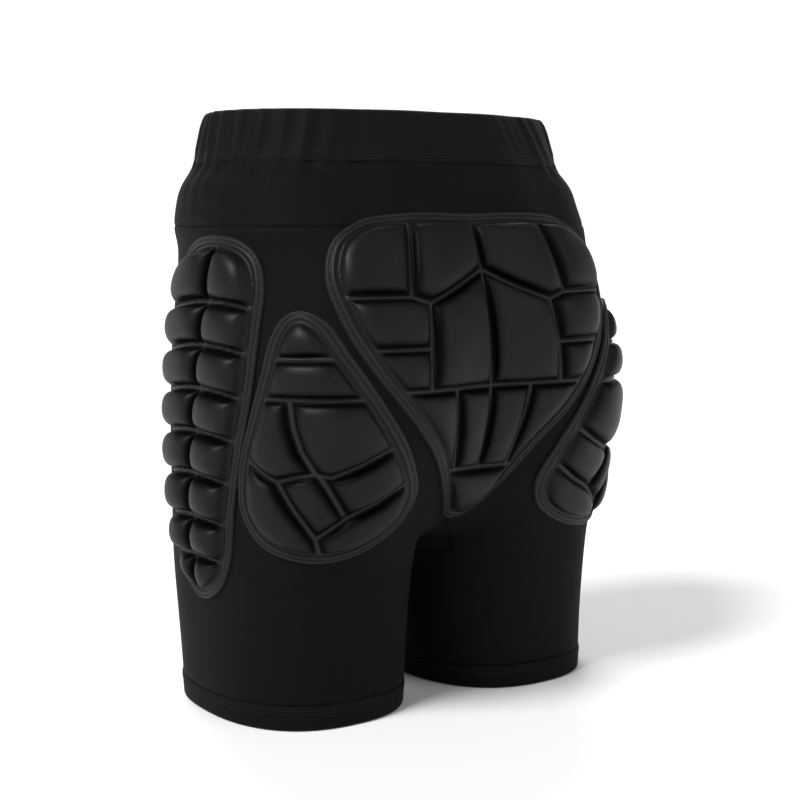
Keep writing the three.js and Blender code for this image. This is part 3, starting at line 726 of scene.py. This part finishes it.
def add_hook_and_loop():
    """The loop patch on the band and the hook patch inside the tab, each with its pile."""
    arch = [(-0.45, 0.0), (-0.35, 0.55), (0.0, 0.85), (0.35, 0.6), (0.42, 0.25)]
    for name, body, x0, x1, base, out, pitch in (("waist_loop_patch", "shorts", -46, 4, 1.5, 1, 1.5),
                                                 ("waist_hook_patch", "waist_tab", -48, 4, 3.2, -1, 1.7)):
        xx, zz = np.meshgrid(np.linspace(x0, x1, 40), np.linspace(410.5, 436.5, 22))
        points = front_chart(xx, zz)
        normal = normals_of(points)
        sheet = shell_object(f"{name}_base", points + normal * (base + 0.25), points + normal * (base - 0.25),
                             np.stack(arc_lengths(points), -1) * MM)
        finish_piece(sheet, HOOK, body=body, stands_for=(name,))
        xx, zz = np.meshgrid(np.arange(x0 + 2, x1 - 1.5, pitch), np.arange(412.5, 435, pitch))
        at = front_chart(xx + 0.35 * np.sin(zz * 5), zz).reshape(-1, 3)
        normal = normals_of(at)
        verts, faces = [], []
        for foot, up in zip(at + normal * (base + 0.2 * out), normal * out):
            lean = np.cross(up, (0, 0, 1))
            lean /= np.linalg.norm(lean)
            faces += tube_faces(len(verts), len(arch), 3)
            for s, h in arch:
                centre = foot + lean * s * PILE_RISE + up * h * PILE_RISE
                for k in range(3):
                    turn = 2 * math.pi * k / 3
                    round_it = lean * math.cos(turn) + np.array((0, 0, 1)) * math.sin(turn)
                    verts.append(centre + PILE_RADIUS * round_it)
        pile = make_object(f"{name}_pile", np.array(verts), faces, np.array(verts)[:, [0, 2]] * MM)
        finish_piece(pile, HOOK, body=body)


# ---------------------------------------------------------------- open mesh
NET_PITCH = 3.5                 # distance between the middles of a net's neighbouring cells, mm
NET_STRAND = 0.5                # radius of its strands


def net_object(name, corner, length, cells_across=12):
    """A hexagonal net of round strands. corner(s, t) gives the surface at s along and t across, 0 to 1."""
    rows = max(2, int(round(length / (NET_PITCH * 1.5 / math.sqrt(3)))))
    nodes = {}
    strands = []

    def strand(*knots):
        strands.append([nodes.setdefault(knot, len(nodes)) for knot in knots])

    # brick-shaped hexagons: node columns i (half cells), rows j
    for j in range(rows + 1):
        for i in range(2 * cells_across):
            strand((i, j), (i + 1, j))
    for j in range(rows):
        for i in range(2 * cells_across + 1):
            if (i + j) % 2 == 0:
                strand((i, j), (i, j + 1))
    keys = np.array(list(nodes), float)
    zig = np.where((keys[:, 0] + keys[:, 1]) % 2 == 0, 0.17, -0.17) / rows
    points = corner(np.clip(keys[:, 1] / rows + zig, 0, 1), keys[:, 0] / (2 * cells_across))
    normal = normals_of(points)
    points = points + normal * (folds(points) - 0.2)[:, None]
    sides = 5
    verts, faces, uvs = [], [], []
    a, b = np.array(strands).T
    for p, q, n in zip(points[a], points[b], normal[a]):
        along = q - p
        size = np.linalg.norm(along)
        if size < 0.15:
            continue
        along /= size
        side = np.cross(n, along)
        faces += tube_faces(len(verts), 3, sides)
        for t, grow in ((-0.04, 1.1), (0.5, 0.86), (1.04, 1.1)):
            for k in range(sides):
                turn = 2 * math.pi * k / sides
                out = (n * math.sin(turn) * 0.75 + side * math.cos(turn)) * NET_STRAND * grow
                verts.append(p + along * size * t + out)
                uvs.append((t * size * MM, k * 0.3 * MM))
    return make_object(name, np.array(verts), faces, np.array(uvs))


def lining(name, corner, columns, rows):
    """A thin dark cloth behind a net, and its mirror image."""
    t, s = np.meshgrid(np.linspace(-0.04, 1.04, columns), np.linspace(0, 1, rows))
    points = corner(s.ravel(), t.ravel()).reshape(rows, columns, 3)
    normal = normals_of(points)
    along, up = arc_lengths(points)
    left = shell_object(name, points - normal * 1.5, points - normal * 2.0, np.stack([along, up], -1) * MM)
    declare_cloth(left, along.max() * MM, up.max() * MM)
    finish_pair(left, LINING)


def add_front_mesh():
    z = np.linspace(112, BAND_BOTTOM + 1, 160)
    outer, inner = (np.stack([through(knots, z), z], -1) for knots in (MESH_OUTER, MESH_INNER))
    run_outer, run_inner = running(outer), running(inner)

    def corner(s, t):
        near = sampled(inner, run_inner / run_inner[-1], s)
        far = sampled(outer, run_outer / run_outer[-1], s)
        across = near + (far - near) * t[:, None]
        return front_chart(across[:, 0], across[:, 1])

    net = net_object("left_front_net", corner, run_outer[-1])
    lining("left_front_lining", corner, 26, 120)
    finish_pair(net, NET, ("left_front_mesh",))


def add_inner_mesh():
    def corner(s, t):
        z = HEM_TOP + 0.5 + s * (106 - HEM_TOP)
        return leg_chart(np.radians(NET_BACK - 1 + (NET_FRONT - NET_BACK + 2) * t), z)

    net = net_object("left_inner_thigh_net", corner, 88)
    lining("left_inner_thigh_lining", corner, 20, 40)
    finish_pair(net, NET, ("left_inner_thigh_mesh",))


# ---------------------------------------------------------------- pads
SEAT_OUTLINE = [[0, 366], [72, 366], [102, 361], [116, 348], [118, 325], [109, 298], [91, 262], [68, 227],
                [47, 195], [33, 168], [18, 147], [0, 142]]
SEAT_GROOVES = [
    [[0, 372], [0, 185]],
    [[0, 326], [54, 304], [67, 308.5], [124, 308.5]],
    [[67, 372], [67, 308.5]],
    [[54, 304], [55, 245]],
    [[55, 273.5], [110, 273.5]],
    [[0, 245], [90, 245]],
    [[34.5, 245], [28, 185]],
    [[0, 185], [44, 185]],
]
HIP_OUTLINE = [[20, 352], [42, 348], [57, 337], [64, 318], [63, 283], [59, 240], [52, 200], [46, 160],
               [42, 120], [31, 98], [10, 88], [-15, 97], [-34, 120], [-44, 160], [-50, 200], [-52, 240],
               [-51, 283], [-44, 318], [-28, 338], [-5, 349]]
HIP_RIB = [[90, 9], [140, 2], [200, 4], [280, 13], [350, 22]]
HIP_ROW_LEVELS = [121, 149, 180, 211, 242, 273, 304]
HIP_ROW_BOW = 0.002             # how fast a row's line falls away from the rib, per mm squared
THIGH_OUTLINE = [[48, 301], [57, 297], [64, 284], [70, 255], [78, 222], [85, 188], [83, 158], [66, 134],
                 [34, 124], [4, 131], [-16, 148], [-20, 168], [-10, 197], [6, 232], [24, 270], [36, 294]]
THIGH_GROOVES = [
    [[76, 267], [20, 269]],
    [[84, 240], [6, 241.5]],
    [[52, 240], [50, 222], [46, 206], [38.5, 190]],
    [[38.5, 190], [31, 188], [18, 196], [5, 206], [-12, 215]],
    [[38.5, 190], [47, 188], [58, 183.5]],
    [[84, 204], [66, 188.5], [58, 183.5], [48.5, 164], [36, 143], [32, 128]],
    [[38.5, 190], [35.5, 186.5], [23, 161]],
    [[36, 143], [28, 151], [21, 158], [6, 168], [-8, 181], [-24, 190]],
]
FLANGE = 8.5                    # flat sewn edge around the cells
GROOVE = 1.7                    # half the width of the grooves between cells
WEB = 2.6                       # height of the flange and the groove floors
SOFTNESS = 36                   # a low number makes the cells' tops blunt
PAD_PITCH = 0.95                # spacing of a pad's points
LOOP_PITCH = 1.5                # spacing of an outline's points


def seat_chart(u, z):
    return centre_chart(math.pi - u / SEAT_RADIUS, z)


def hip_chart(u, z):
    return leg_chart(math.pi / 2 + u / LEG_RADIUS, z)


def thigh_chart(u, z):
    return leg_chart(math.pi - u / LEG_RADIUS, z)


def rounded_loop(points):
    """A closed smooth curve through the outline's points, evenly spaced (centripetal Catmull-Rom)."""
    p = np.array(points, float)
    n = len(p)
    dense = []
    for i in range(n):
        p0, p1, p2, p3 = (p[(i + k) % n] for k in (-1, 0, 1, 2))
        t = [0.0]
        for a, b in ((p0, p1), (p1, p2), (p2, p3)):
            t.append(t[-1] + math.sqrt(np.linalg.norm(b - a)))
        s = np.linspace(t[1], t[2], 24, endpoint=False)[:, None]
        a1 = (t[1] - s) / (t[1] - t[0]) * p0 + (s - t[0]) / (t[1] - t[0]) * p1
        a2 = (t[2] - s) / (t[2] - t[1]) * p1 + (s - t[1]) / (t[2] - t[1]) * p2
        a3 = (t[3] - s) / (t[3] - t[2]) * p2 + (s - t[2]) / (t[3] - t[2]) * p3
        b1 = (t[2] - s) / (t[2] - t[0]) * a1 + (s - t[0]) / (t[2] - t[0]) * a2
        b2 = (t[3] - s) / (t[3] - t[1]) * a2 + (s - t[1]) / (t[3] - t[1]) * a3
        dense.append((t[2] - s) / (t[2] - t[1]) * b1 + (s - t[1]) / (t[2] - t[1]) * b2)
    dense = np.concatenate(dense)
    ring = np.concatenate([dense, dense[:1]])
    run = running(ring)
    count = int(run[-1] / LOOP_PITCH)
    return sampled(ring, run, np.arange(count) * run[-1] / count)


def segment_gap(q, a, b):
    """Distance from points to the line from a to b."""
    d = b - a
    t = np.clip(((q - a) @ d) / (d @ d), 0, 1)
    return np.linalg.norm(q - a - t[:, None] * d, axis=1)


def edge_distance(loop, u, z):
    """Signed distance to a closed loop, positive inside."""
    q = np.stack([u.ravel(), z.ravel()], -1)
    best = np.full(len(q), 1e9)
    inside = np.zeros(len(q), bool)
    for a, b in zip(loop, np.roll(loop, -1, 0)):
        best = np.minimum(best, segment_gap(q, a, b))
        if a[1] != b[1]:
            cross = (a[1] > q[:, 1]) != (b[1] > q[:, 1])
            inside ^= cross & (q[:, 0] < a[0] + (q[:, 1] - a[1]) / (b[1] - a[1]) * (b[0] - a[0]))
    return np.where(inside, best, -best).reshape(u.shape)


def hip_grooves():
    """One rib down the hip pad and a line across it between each two rows."""
    up = np.linspace(84, 356, 18)
    lines = [np.stack([through(HIP_RIB, up), up], -1)]
    across = np.linspace(-70, 80, 13)
    for level in HIP_ROW_LEVELS:
        lines.append(np.stack([across, level - HIP_ROW_BOW * (across - through(HIP_RIB, level)) ** 2], -1))
    return lines


def groove_distance(lines, u, z):
    """Distance from each point to the nearest of the grooves' middle lines."""
    q = np.stack([u.ravel(), z.ravel()], -1)
    best = np.full(len(q), 1e9)
    for line in lines:
        line = np.array(line, float)
        for a, b in zip(line[:-1], line[1:]):
            best = np.minimum(best, segment_gap(q, a, b))
    return best.reshape(u.shape)


def blurred(field):
    for _ in range(5):
        padded = np.pad(field, 1, mode="edge")
        field = sum(padded[1 + dj:padded.shape[0] - 1 + dj, 1 + di:padded.shape[1] - 1 + di]
                    for dj in (-1, 0, 1) for di in (-1, 0, 1)) / 9
    return field


def pillow(depth, pitch):
    """Heights of an elastic film held down wherever depth is not above zero and blown up everywhere else."""
    inside = depth > -0.5 * pitch
    film = np.zeros(depth.shape)
    for _ in range(900):
        mean = 0.25 * (np.roll(film, 1, 0) + np.roll(film, -1, 0)
                       + np.roll(film, 1, 1) + np.roll(film, -1, 1))
        film = np.where(inside, mean + 0.25 * pitch * pitch, 0.0)
    reach = np.maximum(depth, 0)
    slope = blurred(film) / np.maximum(blurred(reach), 1e-3)
    return slope * reach + (film - slope * reach) * smoothstep((reach - 0.4) / 1.8)


def make_pad(name, chart, outline, grooves, height, two_sided=False):
    """One pad: its cover of foam cells swollen between sewn grooves, its welt, and the welt's stitches."""
    loop = rounded_loop(outline)
    low, high = loop.min(0), loop.max(0)
    us, zs = (np.arange(low[c] - PAD_PITCH, high[c] + 2 * PAD_PITCH, PAD_PITCH) for c in (0, 1))
    z, u = np.meshgrid(zs, us, indexing="ij")
    rim = edge_distance(loop, u, z)
    gap = groove_distance(grooves, np.abs(u) if two_sided else u, z)
    depth = np.minimum(gap - GROOVE, rim - FLANGE)
    film = pillow(depth, PAD_PITCH)
    swell = (height - WEB) * film / (film + SOFTNESS)
    soft = 0.25 * np.sin(u / 7.3 + 2 * np.sin(z / 11)) * np.sin(z / 8.9) * smoothstep(depth / 6)
    rib = np.exp(-(gap / 1.25) ** 4) * smoothstep((rim - FLANGE + 1.5) / 1.5)
    # painted shade: a band beside each groove's middle, off the rib, where the cover's colour and shine are
    # darkened
    groove_shade = np.exp(-((gap - 2.6) / 2.7) ** 2) * smoothstep((rim - FLANGE + 1) / 3) * (1 - rib)
    top = WEB + swell + soft + 1.5 * rib
    inside = rim > 1.6
    keep = inside[:-1, :-1] & inside[1:, :-1] & inside[:-1, 1:] & inside[1:, 1:]
    base = chart(u, z)
    normal = normals_of(base)
    n = u.size
    index = np.arange(n).reshape(u.shape)
    quads = np.stack([index[:-1, :-1], index[:-1, 1:], index[1:, 1:], index[1:, :-1]], -1)[keep]
    faces = [tuple(q) for q in quads] + [tuple((q + n)[::-1]) for q in quads]
    edges = {}
    for q in quads.tolist():
        for a, b in zip(q, q[1:] + q[:1]):
            if (b, a) in edges:
                del edges[(b, a)]
            else:
                edges[(a, b)] = 1
    faces += [(b, a, a + n, b + n) for a, b in edges]
    used = np.unique(np.concatenate([quads.ravel(), quads.ravel() + n]))
    remap = np.full(2 * n, -1)
    remap[used] = np.arange(len(used))
    points = np.concatenate([(base + normal * level).reshape(-1, 3) for level in (top[..., None], 0.7)])[used]
    # the ribs' paler colour is partly their own tone and partly a painted highlight on their raised tops
    uv, rib_tone_and_highlight, groove_shade = (np.concatenate([field, field])[used] for field in (
        np.stack([u, z], -1).reshape(-1, 2) * MM, rib.ravel(), groove_shade.ravel()))
    cover = make_object(f"{name}_cells", points, [tuple(remap[list(f)]) for f in faces], uv,
                        {"valley": rib_tone_and_highlight, "groove_shade": groove_shade})
    orient(cover)
    return cover, *make_binding(name, chart, loop)


def make_binding(name, chart, loop):
    """A double welt round the pad, with the stitch groove between its two ridges."""
    tangent = np.roll(loop, -1, 0) - np.roll(loop, 1, 0)
    tangent /= np.linalg.norm(tangent, axis=1, keepdims=True)
    area = 0.5 * np.sum(loop[:, 0] * np.roll(loop[:, 1], -1) - np.roll(loop[:, 0], -1) * loop[:, 1])
    inward = np.stack([-tangent[:, 1], tangent[:, 0]], -1) * np.sign(area)

    def inset(distance):
        at = loop + inward * distance
        base = chart(at[:, 0], at[:, 1])
        return base, normals_of(base)

    profile = [(-0.2, -0.4), (0.0, 1.3), (0.5, 2.5), (1.3, 3.1), (2.1, 2.9), (2.7, 2.35), (3.3, 2.35),
               (3.9, 3.2), (4.7, WEB + 0.9), (5.4, WEB + 0.75), (6.1, WEB - 0.2), (6.2, 0.9)]
    rows = []
    for distance, level in profile:
        base, normal = inset(distance)
        rows.append(base + normal * level)
    grid = np.array(rows)
    n, k = len(loop), len(profile)
    faces = []
    for j in range(k):
        j2 = (j + 1) % k
        faces += [(j * n + i, j * n + (i + 1) % n, j2 * n + (i + 1) % n, j2 * n + i) for i in range(n)]
    uv = np.stack(np.meshgrid(np.arange(n) * LOOP_PITCH, [p[0] for p in profile]), -1) * MM
    welt = make_object(f"{name}_welt", grid.reshape(-1, 3), faces, uv)
    orient(welt)
    base, normal = (np.concatenate([ring, ring[:1]]) for ring in inset(3.0))
    run = stitch_line(base + normal * 2.45, normal, pitch=3.0, length=2.2, radius=0.24, lift=0.1)
    return welt, stitches_object(f"{name}_thread", [run])


def add_pads():
    whole_seat = SEAT_OUTLINE + [[-u, z] for u, z in SEAT_OUTLINE[1:-1][::-1]]
    cover, welt, thread = make_pad("seat_pad", seat_chart, whole_seat, SEAT_GROOVES, 14.6, two_sided=True)
    finish_piece(cover, PAD, stands_for=("seat_pad_foam", "seat_pad_backing"))
    finish_piece(welt, BINDING, stands_for=("seat_pad_binding",))
    finish_piece(thread, THREAD)
    for name, *form_of_pad in (("left_hip_pad", hip_chart, HIP_OUTLINE, hip_grooves(), 21.5),
                               ("left_thigh_pad", thigh_chart, THIGH_OUTLINE, THIGH_GROOVES, 15.6)):
        cover, welt, thread = make_pad(name, *form_of_pad)
        for one in finish_pair(cover, PAD, (f"{name}_foam", f"{name}_backing")):
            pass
        finish_pair(welt, BINDING, (f"{name}_binding",))
        finish_pair(thread, THREAD)


# ---------------------------------------------------------------- seams and topstitching
def add_topstitching():
    runs = []
    angle = np.linspace(band_angle(31.0), band_angle(-54.0) + 2 * math.pi, 900)
    for z in (BAND_BOTTOM + 2.4, BAND_BOTTOM + 5.0):
        base = centre_chart(angle, np.full_like(angle, z))
        normal = normals_of(base)
        runs.append(stitch_line(base + normal * (1.0 + band_puff(angle, z))[:, None], normal))
    # either side of the front mesh
    z = np.linspace(112, BAND_BOTTOM - 2, 220)
    for knots, offset in ((MESH_OUTER, 2.2), (MESH_INNER, -2.2)):
        for side in (1, -1):
            base = front_chart(side * (through(knots, z) + offset), z)
            normal = normals_of(base)
            runs.append(stitch_line(base + normal * folds(base)[:, None], normal))
    # hems
    angle = np.linspace(0, 2 * math.pi, 400)
    for z_hem in (HEM_TOP - 3.0, HEM_TOP - 5.6):
        base = leg_chart(angle, np.full_like(angle, z_hem))
        normal = normals_of(base)
        for side in (1, -1):
            flip = np.array([side, 1, 1])
            runs.append(stitch_line((base + normal * 0.55) * flip, normal * flip))
    finish_piece(stitches_object("topstitching", runs), THREAD)


def nearest(values, x):
    return int(np.argmin(np.abs(values - x)))


def flap_stitching(outer, normal):
    columns = [nearest(outer[outer.shape[0] // 2, :, 0], x) for x in (-33.0, -35.2)]
    return stitches_object("fly_flap_thread", [stitch_line(outer[:, c], normal[:, c]) for c in columns])


def tab_stitching(outer, normal):
    """A stitched box round the tab, and one line across it."""
    low, high = (nearest(outer[:, 5, 2], z) for z in (413.5, 437.5))
    left, middle, right = (nearest(outer[10, :, 0], x) for x in (-47, -7, 24))
    runs = [stitch_line(outer[row, left:right], normal[row, left:right]) for row in (low, high)]
    runs += [stitch_line(outer[low:high, c], normal[low:high, c]) for c in (left, middle, right)]
    return stitches_object("waist_tab_thread", runs)


def bar_tack(name, x0, x1, z, level):
    """A short dense bar of thread across a lap's edge."""
    x = np.linspace(x0, x1, 18)
    base = front_chart(x, np.full_like(x, z))
    normal = normals_of(base)
    across = []
    for p, n in zip(base, normal):
        ends = np.array([p - [0, 0, 1.1], p + [0, 0, 1.1]])
        across.append(stitch_line(ends + n * level, np.array([n, n]), 3, 2.2, 0.42, 0.1))
    return stitches_object(name, across)


# ---------------------------------------------------------------- build
add_side_panels()
add_yoke()
add_front_panels()
add_gusset()
add_hems()
add_waistband()
add_front_mesh()
add_inner_mesh()
add_hook_and_loop()
flap, *flap_grid = add_flap()
tab, *tab_grid = add_tab()
finish_piece(flap_stitching(*flap_grid), THREAD, body="fly_flap")
tab_thread = tab_stitching(*tab_grid)
finish_piece(tab_thread, THREAD, body=None)
for tack in (bar_tack("upper_bar_tack", -57, -41, 379.5, 2.5),
             bar_tack("lower_bar_tack", -48, -33, 279.5, 2.5)):
    finish_piece(tack, THREAD, body="fly_flap")
# the flap, the tab and the tab's thread have their placement baked into their points
for piece, body, sewn, free in ((flap, "fly_flap", 0.020, 0.0), (tab, "waist_tab", 0.027, 0.006),
                                (tab_thread, "waist_tab", 0.027, 0.006)):
    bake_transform(piece)
add_pads()
add_topstitching()


# ---------------------------------------------------------------- studio
SKY = 0.16                      # brightness of the sky overhead
SUNS = [                        # name, degrees round from the front, degrees up, strength, spread in degrees
    ("key", 98, 47, 3.4, 22),
    ("fill", 200, 36, 0.6, 50),
    ("front", -28, 46, 1.9, 36),
]


def add_studio():
    """A white floor that runs out to the horizon, a sky bright only near the horizon, and three soft suns."""
    floor_mesh = bpy.data.meshes.new("floor")
    corners = [(x * 40.0, y * 40.0, 0) for x, y in ((-1, -1), (1, -1), (1, 1), (-1, 1))]
    floor_mesh.from_pydata(corners, [], [(0, 1, 2, 3)])
    floor = placed("floor", floor_mesh)
    floor.location.z = -0.0005
    material = bpy.data.materials.new("floor")
    material.use_nodes = True
    shader = material.node_tree.nodes["Principled BSDF"]
    shader.inputs["Base Color"].default_value = (0.9, 0.9, 0.9, 1)
    shader.inputs["Roughness"].default_value = 0.9
    shader.inputs["Specular IOR Level"].default_value = 0.1
    floor_mesh.materials.append(material)
    world = bpy.data.worlds.new("studio")
    bpy.context.scene.world = world
    world.use_nodes = True
    tree = world.node_tree
    place = node(tree, "ShaderNodeTexCoord")
    split = node(tree, "ShaderNodeSeparateXYZ")
    height = node(tree, "ShaderNodeMapRange", {"From Min": 0.15, "From Max": 0.34, "To Min": 1.12,
                                               "To Max": SKY}, interpolation_type="SMOOTHSTEP")
    tree.links.new(place.outputs["Generated"], split.inputs[0])
    tree.links.new(split.outputs["Z"], height.inputs["Value"])
    tree.links.new(height.outputs[0], tree.nodes["Background"].inputs[1])
    tree.nodes["Background"].inputs[0].default_value = (1, 1, 1, 1)
    for name, turn, lift, strength, spread in SUNS:
        data = bpy.data.lights.new(name, "SUN")
        data.energy, data.angle = strength, math.radians(spread)
        lamp = placed(name, data)
        turn, lift = math.radians(turn), math.radians(lift)
        toward = Vector((math.sin(turn) * math.cos(lift), -math.cos(turn) * math.cos(lift), math.sin(lift)))
        lamp.location = toward * 3
        aimed(lamp, -toward)


def add_camera():
    """From the wearer's back left, a little over a metre away."""
    turn = math.radians(34.5)
    distance, height = 1.20, 0.366
    data = bpy.data.cameras.new("camera")
    camera = placed("camera", data)
    camera.location = (distance * math.sin(turn), distance * math.cos(turn) - ORIGIN_Y * MM, height)
    aimed(camera, Vector((-0.004, 0.0, 0.222)) - camera.location)
    data.sensor_width = 36
    data.lens = 69
    bpy.context.scene.camera = camera


add_studio()
add_camera()
bpy.context.scene.view_settings.view_transform = "Standard"
